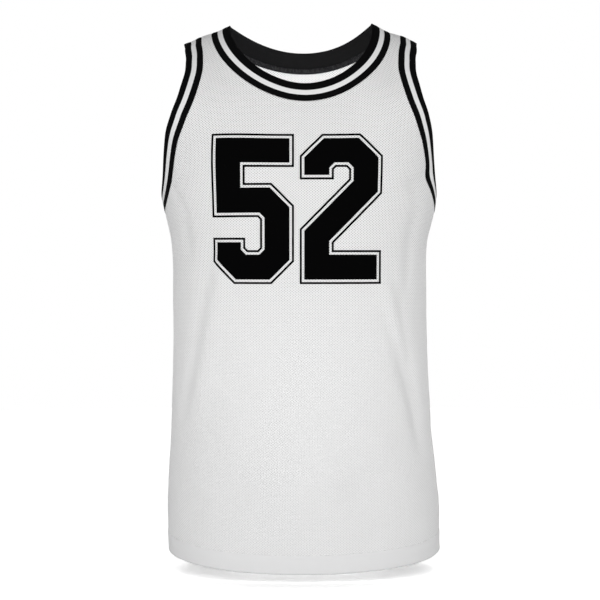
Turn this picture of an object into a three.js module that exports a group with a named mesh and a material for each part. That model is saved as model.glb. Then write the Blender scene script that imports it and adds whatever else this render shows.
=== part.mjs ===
// A sleeveless basketball jersey, filled out as it is when worn, with nobody in it.
// Five pieces are sewn together: a front, a back, one neckband and two armbands.
// Millimetres, +Z up, the front faces -Y. The origin is midway between the two high points
// of the shoulders, where the inner edge of the neckband crosses the shoulder ridge.
import * as THREE from "three";

// Cloth and seams
const CLOTH = 1.5; // wall of a panel
const HEM_CLOTH = 0.6; // extra wall where the hem is turned up
const BAND_CLOTH = 2.2; // wall of the doubled rib bands
const BAND_PROUD = 0.3; // how far a band stands above the panel beside it
const BAND_WIDTH = 24;
const SEAM_GAP = 0.35; // clearance between two pieces at a seam

// Lengths of the garment
const HEM_HEIGHT = 25; // turned-up hem, from its fold to its stitching
const HEM_STEP = 3; // height over which the hem's extra wall fades out
const HEM_SIDE_Z = -708; // hem at the side seams
const HEM_DROP = 21; // how much lower the hem hangs at the middle of front and back
const CHEST_Z = -235; // level of the fullest part of the chest, at the armholes' lowest point
const ARCH = 280; // length of cloth from the chest up to the shoulder ridge
const NECK_X = 99; // half the neck opening at the ridge
const TIP_X = 157.5; // outer end of the shoulder ridge
const TIP_Z = -26.4; // height of that end
const RIDGE_Y = 4; // the shoulder ridge lies just behind the side seams
const RIDGE_POWER = 1.6; // how fast the ridge levels out towards its outer end
const OUTER_FALL = 40; // beyond that end the form falls this much over OUTER_RUN
const OUTER_RUN = 30;

// How straight the cloth slopes from the chest to the ridge, 0 for a round arch
const FRONT_SLOPE = 1;
const BACK_SLOPE = 0.6;
const TIP_SLOPE = 0.3;

// Sections of the worn form at heights h of the cloth, from below the hem up to the ridge:
// the half-width on either side, the depth in front and behind, and how square each is.
// Up to the chest h is z, and above it h is a length of cloth.
const SECTIONS = [
  { h: -740, left: 177, right: 191, front: 103, back: 112, square: 2.1 },
  { h: -640, left: 179, right: 186.5, front: 113, back: 116, square: 2.15 },
  { h: -540, left: 175, right: 178, front: 118, back: 105, square: 2.2 },
  { h: -450, left: 172, right: 172.5, front: 113, back: 95, square: 2.3 },
  { h: -370, left: 171.5, right: 171, front: 112, back: 96, square: 2.4 },
  { h: -300, left: 173.5, right: 171.5, front: 115, back: 103, square: 2.5 },
  { h: -258, left: 182, right: 181, front: 118, back: 109, square: 2.6 },
  { h: CHEST_Z, left: 187, right: 184, front: 119, back: 111, square: 2.65 },
  { h: -170, left: 199, right: 189, front: 119, back: 111, square: 2.8 },
  { h: -100, left: 203, right: 187, front: 119, back: 111, square: 4.3 },
  { h: -30, left: 197, right: 186.5, front: 119, back: 111, square: 3 },
  { h: CHEST_Z + ARCH, left: 187, right: 185.5, front: 119, back: 111, square: 3 },
];

// Edge of each arm opening: its distance from the middle of the body at each height.
const ARMHOLE_FRONT = [
  { z: -32, left: 155.4, right: 156 },
  { z: -42, left: 154.5, right: 155.3 },
  { z: -58, left: 152, right: 152.4 },
  { z: -78, left: 153, right: 152.8 },
  { z: -107, left: 160.5, right: 159.9 },
  { z: -133, left: 170.4, right: 168.9 },
  { z: -164, left: 179.4, right: 176 },
  { z: -194, left: 180.8, right: 178.6 },
  { z: -220, left: 182, right: 180.2 },
];
const ARMHOLE_BACK = [
  { z: -33, left: 156.5, right: 156.5 },
  { z: -50, left: 156, right: 156 },
  { z: -80, left: 158, right: 158 },
  { z: -110, left: 162, right: 162 },
  { z: -140, left: 168, right: 168 },
  { z: -170, left: 174, right: 174 },
  { z: -198, left: 178.5, right: 177.4 },
  { z: -221, left: 182, right: 180.6 },
];
const ARMHOLE_BOTTOM_Z = -238;

// Neck opening: its depth at the middle, the powers of its outline across and down, and
// how far its lowest point lies to one side.
const NECK_FRONT = { drop: 95, across: 1.85, down: 1.94, shift: 7.3 };
const NECK_BACK = { drop: 30.4, across: 2.1, down: 0.9, shift: 5.5 };

// Soft folds: a line over the cloth from one point to another, bowed sideways, with the
// half-width and the height of its ridge. A negative height is a trough.
const FRONT_FOLDS = [
  { x0: -112, z0: -290, x1: -172, z1: -590, bow: 16, width: 16, height: -5 },
  { x0: 112, z0: -370, x1: 171, z1: -600, bow: -10, width: 16, height: -4.5 },
  { x0: 146, z0: -222, x1: 164, z1: -540, bow: -8, width: 16, height: -5 },
  { x0: 60, z0: -600, x1: 130, z1: -700, bow: 0, width: 34, height: -2.5 },
];
const BACK_FOLDS = [
  { x0: 0, z0: -170, x1: 0, z1: -520, bow: 0, width: 44, height: -5 },
  { x0: -160, z0: -300, x1: -46, z1: -430, bow: -14, width: 16, height: -4.5 },
  { x0: 156, z0: -320, x1: 40, z1: -465, bow: 14, width: 16, height: -4.5 },
  { x0: 160, z0: -280, x1: 150, z1: -560, bow: 8, width: 16, height: -4 },
  { x0: -92, z0: -500, x1: -104, z1: -790, bow: 6, width: 26, height: 5 },
  { x0: -28, z0: -470, x1: -36, z1: -790, bow: -5, width: 24, height: -4 },
  { x0: 58, z0: -520, x1: 66, z1: -790, bow: 5, width: 28, height: 4.5 },
];
const FOLD_ENDS = 0.3; // share of a fold's length over which it rises at either end

// Rounded fullness of the chest, the belly and the shoulder blades
const FRONT_BULGES = [
  { x: -98, z: -182, wide: 52, tall: 44, height: 5 },
  { x: 98, z: -182, wide: 52, tall: 44, height: 5 },
  { x: 2, z: -520, wide: 80, tall: 70, height: 3.5 },
];
const BACK_BULGES = [
  { x: -78, z: -150, wide: 58, tall: 62, height: 5 },
  { x: 78, z: -150, wide: 58, tall: 62, height: 5 },
];
const GIRTH_RADIUS = 165; // turns an angle round the body into a length of cloth
const FADE_POWER = 3; // how late the folds fade out on the way up to the ridge

// Cells of the faceted walls
const NECK_CELLS = 32; // across the front of the neck, and as many across its back
const ARMHOLE_CELLS = 24; // from the shoulder down to the side seam
const STRAP_CELLS = 6; // of those, along the strap between the neck and the armhole
const PIT_CELLS = 4; // and along the armhole's bottom, up to where it turns upwards
const SHOULDER_CELLS = 3; // across the strap
const SIDE_CELLS = 14; // from the armhole down to the hem
const BAND_CELLS = 3; // across a band
const BAND_SUBSTEPS = 2; // steps that find a band's next row on the curved form
const HEM_LEVELS = [0, HEM_HEIGHT / 2, HEM_HEIGHT, HEM_HEIGHT + HEM_STEP];
const CURVE_SAMPLES = 60; // samples between two rows of an edge, before it is evened out
const NECK_SAMPLES = 480;
const PROBE = 0.5; // half the step over which a surface's direction is measured
const PROBE_TURN = 0.004; // the same round the body, in radians

const WHITE_MESH = { color: 0xe9e9e9, roughness: 0.7, metalness: 0 };
const BLACK_RIB = { color: 0x0b0b0b, roughness: 0.85, metalness: 0 };

const QUARTER = Math.PI / 2;
const RIDGE_H = CHEST_Z + ARCH;
const FRONT = { middle: 0, depth: "front", folds: FRONT_FOLDS, bulges: FRONT_BULGES };
const BACK = { middle: Math.PI, depth: "back", folds: BACK_FOLDS, bulges: BACK_BULGES };

const mix = (a, b, share) => a + (b - a) * share;
const clamp = (value, low, high) => Math.min(high, Math.max(low, value));
const soften = (share) => clamp(share, 0, 1) ** 2 * (3 - 2 * clamp(share, 0, 1));

// A cubic from one value to the next that leaves and arrives at the given slopes.
function cubic(from, to, leaving, arriving, share) {
  const bend = from - to;
  const second = -3 * bend - 2 * leaving - arriving;
  const third = 2 * bend + leaving + arriving;
  return from + share * (leaving + share * (second + share * third));
}

// A smooth value of one column of a table at a place along another column.
function smoothAt(rows, along, column, place) {
  const last = rows.length - 1;
  let k = 0;
  while (k < last - 1 && place >= rows[k + 1][along]) k += 1;
  const slope = (i) => {
    const before = rows[Math.max(i - 1, 0)];
    const after = rows[Math.min(i + 1, last)];
    return (after[column] - before[column]) / (after[along] - before[along]);
  };
  const run = rows[k + 1][along] - rows[k][along];
  const share = (place - rows[k][along]) / run;
  const [from, to] = [rows[k][column], rows[k + 1][column]];
  return cubic(from, to, slope(k) * run, slope(k + 1) * run, share);
}

function sectionAt(h) {
  const section = {};
  for (const column of ["left", "right", "front", "back", "square"])
    section[column] = smoothAt(SECTIONS, "h", column, h);
  return section;
}
const CHEST = SECTIONS.find(({ h }) => h === CHEST_Z);

// A point of a section, a superellipse, by its angle from the middle of the front.
function ring(angle, section) {
  const halfWidth = Math.sin(angle) < 0 ? section.left : section.right;
  const depth = Math.cos(angle) > 0 ? section.front : section.back;
  const power = section.square;
  const reach =
    (Math.abs(Math.sin(angle)) / halfWidth) ** power +
    (Math.abs(Math.cos(angle)) / depth) ** power;
  const radius = reach ** (-1 / power);
  return { x: radius * Math.sin(angle), y: -radius * Math.cos(angle), depth };
}

// The angle of a section's point at x, on the front or on the back.
function angleOf(x, face, h = CHEST_Z) {
  const section = sectionAt(h);
  const share = clamp(Math.abs(x) / (x < 0 ? section.left : section.right), 0, 1);
  const across = (1 - share ** section.square) ** (1 / section.square);
  const turn = Math.atan2(x, section[face.depth] * across);
  return face === FRONT ? turn : Math.PI - turn;
}

// Height of the shoulder ridge at x. Within the neck opening it goes on as a smooth dome.
function ridgeZ(x) {
  const out = Math.abs(x);
  const run = TIP_X - NECK_X;
  if (out > TIP_X)
    return TIP_Z - OUTER_FALL * ((out - TIP_X) / OUTER_RUN) ** RIDGE_POWER;
  if (out > NECK_X) return TIP_Z * (1 - ((TIP_X - out) / run) ** RIDGE_POWER);
  const slope = (-TIP_Z * RIDGE_POWER) / run;
  return (slope * NECK_X * (1 - (out / NECK_X) ** 2)) / 2;
}

// The form without its folds. The height h is z up to the chest, and from there the length
// of cloth towards the ridge, over which the section's depth closes in an arch.
function form(angle, h) {
  const { x, y } = ring(angle, sectionAt(h));
  if (h <= CHEST_Z) return new THREE.Vector3(x, y, h);
  const rise = Math.sin(QUARTER * clamp((h - CHEST_Z) / ARCH, 0, 1));
  const facing = mix(FRONT_SLOPE, BACK_SLOPE, (1 - Math.cos(angle)) / 2);
  const slope = mix(facing, TIP_SLOPE, clamp((x / TIP_X) ** 2, 0, 1));
  const closed = rise ** 2 * (1 + slope - slope * rise);
  const open = Math.sqrt(Math.max(0, 1 - closed));
  return new THREE.Vector3(x, mix(RIDGE_Y, y, open), mix(CHEST_Z, ridgeZ(x), rise));
}

// The height h of the form's point at x and z.
function heightOf(x, z) {
  if (z <= CHEST_Z) return z;
  const rise = clamp((z - CHEST_Z) / (ridgeZ(x) - CHEST_Z), 0, 1);
  return CHEST_Z + (ARCH * Math.asin(rise)) / QUARTER;
}

// The same angle, told within half a turn of a face's middle.
function angleNear(face, angle) {
  const turn = angle - face.middle;
  return face.middle + Math.atan2(Math.sin(turn), Math.cos(turn));
}

function placeOf(x, z, face) {
  const h = heightOf(x, z);
  return { angle: angleOf(x, face, h), h };
}

// Height of one fold at a point of the cloth, measured along and across its line.
function foldHeight(fold, face, round, z) {
  const start = GIRTH_RADIUS * angleOf(fold.x0, face);
  const end = GIRTH_RADIUS * angleOf(fold.x1, face);
  const run = Math.hypot(end - start, fold.z1 - fold.z0);
  const alongRound = (end - start) / run;
  const alongZ = (fold.z1 - fold.z0) / run;
  const share = ((round - start) * alongRound + (z - fold.z0) * alongZ) / run;
  if (share <= 0 || share >= 1) return 0;
  const side = (round - start) * alongZ - (z - fold.z0) * alongRound;
  const bow = fold.bow * 4 * share * (1 - share);
  const off = side - bow;
  const ends = soften(share / FOLD_ENDS) * soften((1 - share) / FOLD_ENDS);
  return fold.height * ends * Math.exp(-((off / fold.width) ** 2));
}

function bulgeHeight(bulge, face, round, z) {
  const across = (round - GIRTH_RADIUS * angleOf(bulge.x, face)) / bulge.wide;
  const up = (z - bulge.z) / bulge.tall;
  return bulge.height * Math.exp(-(across ** 2) - up ** 2);
}

// Height of all folds at a point. It fades out at the ridge, where front and back meet.
function relief(angle, h, z) {
  let height = 0;
  for (const face of [FRONT, BACK]) {
    const round = GIRTH_RADIUS * angleNear(face, angle);
    for (const fold of face.folds) height += foldHeight(fold, face, round, z);
    for (const bulge of face.bulges) height += bulgeHeight(bulge, face, round, z);
  }
  return height * (1 - clamp((h - CHEST_Z) / ARCH, 0, 1) ** FADE_POWER);
}

// The directions of a surface at a place: round the body, up the cloth, and outwards.
function directions(surface, { angle, h }) {
  const low = h - PROBE;
  const high = Math.min(h + PROBE, RIDGE_H);
  const round = surface(angle + PROBE_TURN, h)
    .sub(surface(angle - PROBE_TURN, h))
    .divideScalar(2 * PROBE_TURN);
  const up = surface(angle, high)
    .sub(surface(angle, low))
    .divideScalar(high - low);
  return { round, up, out: round.clone().cross(up).normalize() };
}

// The outer face of the cloth, with its folds.
function cloth(angle, h) {
  const point = form(angle, h);
  const { out } = directions(form, { angle, h });
  return point.addScaledVector(out, relief(angle, h, point.z));
}

// The point of a place, moved out from the cloth by some distance.
function lifted(place, distance) {
  const { out } = directions(cloth, place);
  return cloth(place.angle, place.h).addScaledVector(out, distance);
}

// Many places on a smooth curve through a few.
function curveThrough(places) {
  const rows = places.map((place, index) => ({ ...place, index }));
  const dense = [];
  for (let k = 0; k <= (rows.length - 1) * CURVE_SAMPLES; k += 1) {
    const index = k / CURVE_SAMPLES;
    dense.push({
      angle: smoothAt(rows, "index", "angle", index),
      h: smoothAt(rows, "index", "h", index),
    });
  }
  return dense;
}

// The same curve in cells of equal length, measured on the cloth.
function evenly(dense, cells) {
  const points = dense.map((place) => cloth(place.angle, place.h));
  const lengths = [0];
  for (let i = 1; i < points.length; i += 1)
    lengths.push(lengths[i - 1] + points[i].distanceTo(points[i - 1]));
  const places = [dense[0]];
  for (let k = 1; k < cells; k += 1) {
    const wanted = (lengths.at(-1) * k) / cells;
    const next = lengths.findIndex((length) => length >= wanted);
    const share = (wanted - lengths[next - 1]) / (lengths[next] - lengths[next - 1]);
    places.push({
      angle: mix(dense[next - 1].angle, dense[next].angle, share),
      h: mix(dense[next - 1].h, dense[next].h, share),
    });
  }
  return [...places, dense.at(-1)];
}

// An arm opening, a closed row of places: from the ridge down the front and up the back.
function armOpening(side) {
  const column = side < 0 ? "left" : "right";
  const edge = (rows, face) => {
    const ridge = { angle: angleOf(side * TIP_X, face, RIDGE_H), h: RIDGE_H };
    const places = [ridge, ...rows.map((row) => placeOf(side * row[column], row.z, face))];
    return places.map(({ angle, h }) => ({ angle: angleNear(FRONT, angle), h }));
  };
  const front = edge(ARMHOLE_FRONT, FRONT);
  const bottom = { angle: side * QUARTER, h: ARMHOLE_BOTTOM_Z };
  const back = edge(ARMHOLE_BACK, BACK).reverse();
  const dense = curveThrough([...front, bottom, ...back]);
  const lowest = front.length * CURVE_SAMPLES;
  return [
    ...evenly(dense.slice(0, lowest + 1), ARMHOLE_CELLS).slice(0, -1),
    ...evenly(dense.slice(lowest), ARMHOLE_CELLS).slice(0, -1),
  ];
}

// The neck opening, a closed row of places: round the front from -X to +X, and back
// behind the nape. Each half is a superellipse below the ridge.
function neckOpening() {
  const half = (face, { drop, across, down, shift }) => {
    const dense = [];
    for (let k = 0; k <= NECK_SAMPLES; k += 1) {
      const turn = (Math.PI * k) / NECK_SAMPLES;
      const low = Math.sin(turn) ** (2 / down);
      const wide = Math.abs(Math.cos(turn)) ** (2 / across) * -Math.sign(Math.cos(turn));
      dense.push(placeOf(NECK_X * wide + shift * low, -drop * low, face));
    }
    return evenly(dense, NECK_CELLS);
  };
  const front = half(FRONT, NECK_FRONT);
  const back = half(BACK, NECK_BACK).reverse();
  return [...front.slice(0, -1), ...back.slice(0, -1)];
}

// A closed row of places moved over the cloth by a distance, away from its opening when
// turn is 1 and the row runs anticlockwise seen from outside, or turn is -1 and it
// runs clockwise.
function steppedRow(row, distance, turn) {
  const points = row.map((place) => cloth(place.angle, place.h));
  return row.map((place, i) => {
    const { round, up, out } = directions(cloth, place);
    const along = points[(i + 1) % row.length].clone().sub(points.at(i - 1)).normalize();
    const away = along.cross(out).normalize().multiplyScalar(distance * turn);
    const [rr, ru, uu] = [round.dot(round), round.dot(up), up.dot(up)];
    const [ra, ua] = [round.dot(away), up.dot(away)];
    const area = rr * uu - ru * ru;
    const h = place.h + (ua * rr - ra * ru) / area;
    return {
      angle: place.angle + (ra * uu - ua * ru) / area,
      h: place.h === RIDGE_H ? RIDGE_H : Math.min(h, RIDGE_H),
    };
  });
}

// The rows of a band from its opening to its seam, and the row of the panels' edge there.
function bandRows(opening, turn) {
  const rows = [opening];
  for (let k = 0; k < BAND_CELLS; k += 1) {
    let row = rows.at(-1);
    for (let step = 0; step < BAND_SUBSTEPS; step += 1)
      row = steppedRow(row, BAND_WIDTH / BAND_CELLS / BAND_SUBSTEPS, turn);
    rows.push(row);
  }
  return { rows, panelEdge: steppedRow(rows.at(-1), SEAM_GAP, turn), turn };
}

// Joins rows of points by triangles into a surface, closed round where asked.
function surfaceOf(rows, { ringed = false, flip = false } = {}) {
  const wide = rows[0].length;
  const cells = ringed ? wide : wide - 1;
  const corners = [];
  for (let j = 0; j < rows.length - 1; j += 1)
    for (let i = 0; i < cells; i += 1) {
      const next = (i + 1) % wide;
      const [a, b] = [rows[j][i], rows[j][next]];
      const [c, d] = [rows[j + 1][next], rows[j + 1][i]];
      corners.push(...(flip ? [a, c, b, a, d, c] : [a, b, c, a, c, d]));
    }
  return corners;
}

function meshOf(name, corners, finish) {
  const geometry = new THREE.BufferGeometry().setFromPoints(corners);
  geometry.computeVertexNormals();
  const mesh = new THREE.Mesh(geometry, new THREE.MeshStandardMaterial(finish));
  mesh.name = name;
  return mesh;
}

// A band: a ring of doubled rib, folded at its open edge and cut square at its seam.
function band(name, { rows, turn }) {
  const lift = (row, distance) => row.map((place) => lifted(place, distance));
  const outer = rows.map((row) => lift(row, BAND_PROUD));
  const inner = rows.map((row) => lift(row, BAND_PROUD - BAND_CLOTH));
  const foldRow = steppedRow(rows[0], -BAND_CLOTH / 2, turn);
  const fold = lift(foldRow, BAND_PROUD - BAND_CLOTH / 2);
  const loop = [fold, ...outer, ...inner.reverse(), fold];
  return meshOf(name, surfaceOf(loop, { ringed: true, flip: turn > 0 }), BLACK_RIB);
}

// The rows of a patch between four edges that share their corners.
function patch(left, right, bottom, top) {
  const blend = (name, s, t, i, j) =>
    mix(left[j][name], right[j][name], s) +
    mix(bottom[i][name], top[i][name], t) -
    mix(
      mix(bottom[0][name], bottom.at(-1)[name], s),
      mix(top[0][name], top.at(-1)[name], s),
      t,
    );
  return left.map((_, j) =>
    bottom.map((__, i) => {
      const s = i / (bottom.length - 1);
      const t = j / (left.length - 1);
      return { angle: blend("angle", s, t, i, j), h: blend("h", s, t, i, j) };
    }),
  );
}

// A straight row of places between two.
function rowBetween(from, to, cells) {
  return Array.from({ length: cells + 1 }, (_, k) => ({
    angle: mix(from.angle, to.angle, k / cells),
    h: mix(from.h, to.h, k / cells),
  }));
}

// A row of places across a face, in cells of about equal width of cloth: the angles are
// those of equal steps round an ellipse with the chest's half-width and depth.
function rowAcross(face, from, to, cells) {
  const { left: wide, front: deep } = CHEST;
  const step = ({ angle }) => {
    const turn = angle - face.middle;
    return Math.atan2(deep * Math.sin(turn), wide * Math.cos(turn));
  };
  return Array.from({ length: cells + 1 }, (_, k) => {
    const turn = mix(step(from), step(to), k / cells);
    const angle = face.middle + Math.atan2(wide * Math.sin(turn), deep * Math.cos(turn));
    return { angle, h: mix(from.h, to.h, k / cells) };
  });
}

// A row across the hem, raised above its fold, with its extra cloth.
function hemRow(face, seams, cells, raise) {
  return rowAcross(face, seams[0], seams[1], cells).map(({ angle }) => {
    const { y, depth } = ring(angle, sectionAt(HEM_SIDE_Z));
    const h = HEM_SIDE_Z - (HEM_DROP * Math.abs(y)) / depth + raise;
    return { angle, h, extra: raise > HEM_HEIGHT ? 0 : HEM_CLOTH };
  });
}

// The same place on a panel's shoulder edge, half a gap below the ridge.
function atShoulder({ angle }) {
  const { up } = directions(form, { angle, h: RIDGE_H });
  return { angle, h: RIDGE_H - SEAM_GAP / 2 / up.length() };
}

const joined = (...rows) => rows.flatMap((row, k) => (k ? row.slice(1) : row));
const reversed = (row) => [...row].reverse();

// A panel between the side seams, in four patches: the body, the chest above the armholes'
// bottoms, and a strap on either side of the neck. Its armholes run up from the side seams
// to the shoulders, and its neck edge runs from one shoulder to the other.
function panel(name, face, armholes, neckEdge) {
  const chestCells = NECK_CELLS - 2 * STRAP_CELLS + 2 * SHOULDER_CELLS;
  const seamTurn = QUARTER - SEAM_GAP / 2 / CHEST.left;
  const seams = [
    { angle: face.middle - seamTurn, h: armholes[0][0].h },
    { angle: face.middle + seamTurn, h: armholes[1][0].h },
  ];
  const hem = HEM_LEVELS.map((raise) =>
    hemRow(face, seams, chestCells + 2 * PIT_CELLS, raise),
  );
  const hemTop = hem.at(-1);

  const base = ARMHOLE_CELLS - STRAP_CELLS;
  const sideOf = (armhole, seamEnd, hemEnd) => {
    const edge = [seamEnd, ...armhole.slice(1, -1), atShoulder(armhole.at(-1))];
    return {
      seam: rowBetween(hemEnd, seamEnd, SIDE_CELLS),
      pit: edge.slice(0, PIT_CELLS + 1),
      chest: edge.slice(PIT_CELLS, base + 1),
      strap: edge.slice(base),
    };
  };
  const left = sideOf(armholes[0], seams[0], hemTop[0]);
  const right = sideOf(armholes[1], seams[1], hemTop.at(-1));

  const neck = [
    atShoulder(neckEdge[0]),
    ...neckEdge.slice(1, -1),
    atShoulder(neckEdge.at(-1)),
  ];
  const neckLeft = reversed(neck.slice(0, STRAP_CELLS + 1));
  const neckMiddle = neck.slice(STRAP_CELLS, -STRAP_CELLS);
  const neckRight = neck.slice(-STRAP_CELLS - 1);
  const overStrap = (from, to) => rowBetween(from, to, SHOULDER_CELLS);
  const baseLeft = overStrap(left.strap[0], neckLeft[0]);
  const baseRight = overStrap(neckRight[0], right.strap[0]);
  const shoulderLeft = overStrap(left.strap.at(-1), neckLeft.at(-1)).map(atShoulder);
  const shoulderRight = overStrap(neckRight.at(-1), right.strap.at(-1)).map(atShoulder);

  const chestRow = rowAcross(face, left.chest[0], right.chest[0], chestCells);
  const bodyTop = joined(left.pit, chestRow, reversed(right.pit));
  const chestTop = joined(baseLeft, neckMiddle, baseRight);
  const patches = [
    hem,
    patch(left.seam, right.seam, hemTop, bodyTop),
    patch(left.chest, right.chest, chestRow, chestTop),
    patch(left.strap, neckLeft, baseLeft, shoulderLeft),
    patch(neckRight, right.strap, baseRight, shoulderRight),
  ];
  const upSide = ({ seam, pit, chest, strap }, hemEnds) =>
    joined(hemEnds, seam, pit, chest, strap);
  const edge = joined(
    hem[0],
    upSide(right, hem.map((row) => row.at(-1))),
    reversed(shoulderRight),
    reversed(neck),
    reversed(shoulderLeft),
    reversed(upSide(left, hem.map((row) => row[0]))),
  ).slice(0, -1);
  return meshOf(name, shellOf(patches, edge), WHITE_MESH);
}

// A wall over patches of places, closed along its edge, which runs anticlockwise.
function shellOf(patches, edge) {
  const outside = (place) => lifted(place, (place.extra ?? 0) / 2);
  const inside = (place) => lifted(place, -CLOTH - (place.extra ?? 0) / 2);
  const over = (rows, side) => rows.map((row) => row.map(side));
  return [
    ...patches.flatMap((rows) => surfaceOf(over(rows, outside))),
    ...patches.flatMap((rows) => surfaceOf(over(rows, inside), { flip: true })),
    ...surfaceOf([edge.map(inside), edge.map(outside)], { ringed: true }),
  ];
}

// Part of a closed row as one face's edge: its angles are told from that face's middle.
function edgeOn(face, row, from, cells) {
  return Array.from({ length: cells + 1 }, (_, k) => {
    const { angle, h } = row[(from + k) % row.length];
    if (h < RIDGE_H) return { angle: angleNear(face, angle), h };
    return { angle: angleOf(form(angle, RIDGE_H).x, face, h), h };
  });
}

const neck = bandRows(neckOpening(), 1);
const leftArm = bandRows(armOpening(-1), -1);
const rightArm = bandRows(armOpening(1), 1);

// The neckband's row starts at the left shoulder, and an armband's at its own shoulder.
const neckEdge = (face, from) => edgeOn(face, neck.panelEdge, from, NECK_CELLS);
const armEdge = (face, arm, from) => edgeOn(face, arm.panelEdge, from, ARMHOLE_CELLS);
const frontArms = [leftArm, rightArm].map((arm) => armEdge(FRONT, arm, 0).reverse());
const backArms = [rightArm, leftArm].map((arm) => armEdge(BACK, arm, ARMHOLE_CELLS));

const jersey = new THREE.Group();
jersey.add(
  panel("front", FRONT, frontArms, neckEdge(FRONT, 0)),
  panel("back", BACK, backArms, neckEdge(BACK, NECK_CELLS)),
  band("neckband", neck),
  band("armband_left", leftArm),
  band("armband_right", rightArm),
);

export default jersey;
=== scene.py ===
import math
import bpy
import numpy as np
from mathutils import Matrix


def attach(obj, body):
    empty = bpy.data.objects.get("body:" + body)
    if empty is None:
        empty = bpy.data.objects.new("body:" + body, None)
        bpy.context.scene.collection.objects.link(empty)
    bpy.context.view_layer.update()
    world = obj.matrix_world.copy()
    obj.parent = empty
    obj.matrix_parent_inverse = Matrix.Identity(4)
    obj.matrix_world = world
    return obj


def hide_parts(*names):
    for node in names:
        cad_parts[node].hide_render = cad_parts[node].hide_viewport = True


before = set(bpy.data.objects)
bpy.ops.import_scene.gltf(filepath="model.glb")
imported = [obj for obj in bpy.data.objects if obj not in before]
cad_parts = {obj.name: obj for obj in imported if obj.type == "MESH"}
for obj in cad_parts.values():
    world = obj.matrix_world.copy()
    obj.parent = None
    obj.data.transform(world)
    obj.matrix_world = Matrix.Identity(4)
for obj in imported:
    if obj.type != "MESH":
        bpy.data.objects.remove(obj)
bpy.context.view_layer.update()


# Front panel
# One piece of white polyester mesh, cut with a scooped neck and deep armholes, and sewn to
# the back at the shoulders and sides. Its hem is turned up to the inside, where the second
# layer closes the holes. It hangs in the round shape of a body that isn't there.
MM = 0.001
QUARTER = math.pi / 2

PANEL_CLOTH = 1.2  # wall of the cloth
HEM_HEIGHT = 25
HEM_CLOTH = 0.7  # extra wall of the turned-up hem
HEM_FOLD = 0.8  # how far the hem's edge bulges below its cut line
HEM_DITCH = 0.45  # how deep the hem's stitching pulls the cloth in
HEM_DITCH_WIDTH = 1.7
SEAM_DITCH, SEAM_DITCH_WIDTH = 0.9, 1.3  # the groove along each side seam
PUCKER, PUCKER_REACH = 0.28, 7  # the ripples that the side seam draws in the cloth

HEM_SIDE_Z = -708
HEM_DROP = 21  # how much lower the hem is in the middle of the front and back
CHEST_Z = -235
ARCH = 280  # length of cloth from the chest up to the shoulder ridge
RIDGE_H = CHEST_Z + ARCH
NECK_X = 99  # inner end of the shoulder ridge
TIP_X = 157.5  # its outer end
TIP_Z = -26.4
RIDGE_Y = 4
RIDGE_POWER = 1.6
OUTER_FALL, OUTER_RUN = 40, 30  # the ridge's fall beyond that end, over that distance
FRONT_SLOPE, BACK_SLOPE, TIP_SLOPE = 1, 0.6, 0.3  # how early the depth closes below it
GIRTH_RADIUS = 165  # turns an angle into a length round the body
PROBE, PROBE_TURN = 0.5, 0.004  # small steps that tell a surface's directions

# height h, left, right, front, back, squareness
SECTIONS = np.array([
    (-740, 177, 191, 103, 112, 2.1),
    (-640, 179, 186.5, 113, 116, 2.15),
    (-540, 175, 178, 118, 105, 2.2),
    (-450, 172, 172.5, 113, 95, 2.3),
    (-370, 171.5, 171, 112, 96, 2.4),
    (-300, 173.5, 171.5, 115, 103, 2.5),
    (-258, 182, 181, 118, 109, 2.6),
    (CHEST_Z, 187, 184, 119, 111, 2.65),
    (-170, 199, 189, 119, 111, 2.8),
    (-100, 203, 187, 119, 111, 4.3),
    (-30, 197, 186.5, 119, 111, 3),
    (RIDGE_H, 187, 185.5, 119, 111, 3),
])
CHEST = SECTIONS[7, 1:]

# z, distance of the left and of the right armhole's edge from the middle
ARMHOLE_FRONT = np.array([
    (-32, 154.6, 156), (-42, 153.5, 155.3), (-58, 151, 152.4), (-78, 151.8, 152.8),
    (-107, 159.2, 159.9), (-133, 169.2, 168.9), (-164, 178.8, 176), (-194, 180.8, 178.6),
    (-220, 182, 180.2),
], float)
ARMHOLE_BACK = np.array([
    (-33, 156.5, 156.5), (-50, 156, 156), (-80, 158, 158), (-110, 162, 162),
    (-140, 168, 168), (-170, 174, 174), (-198, 178.5, 177.4), (-221, 182, 180.6),
], float)
ARMHOLE_BOTTOM_Z = -238
ARM_EASE = 12  # cells, the width of the bell curve that eases the armhole's lower part
NECK_FRONT = dict(drop=95, across=1.85, down=1.94, shift=7.3)
NECK_BACK = dict(drop=30.4, across=2.1, down=0.9, shift=5.5)

# x0, z0, x1, z1, sideways bow, half-width, height of the ridge (negative for a trough)
FRONT_FOLDS = np.array([
    (-110, -262, -172, -560, 3, 11, -2.6),
    (-98, -300, -156, -560, 6, 18, 2.2),
    (112, -370, 171, -600, -10, 11, -4.5),
    (124, -340, 150, -470, 0, 14, 3),
    (152, -222, 150, -400, -5, 11, -2.6),
    (120, -300, 174, -560, -3, 9, -2.4),
    (176, -206, 132, -232, 0, 13, -4),
    (-168, -210, -145, -275, 3, 6, -1.6),
    (-158, -250, -158, -330, 0, 8, -2),
    (60, -600, 130, -700, 0, 34, -2.5),
])
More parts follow.
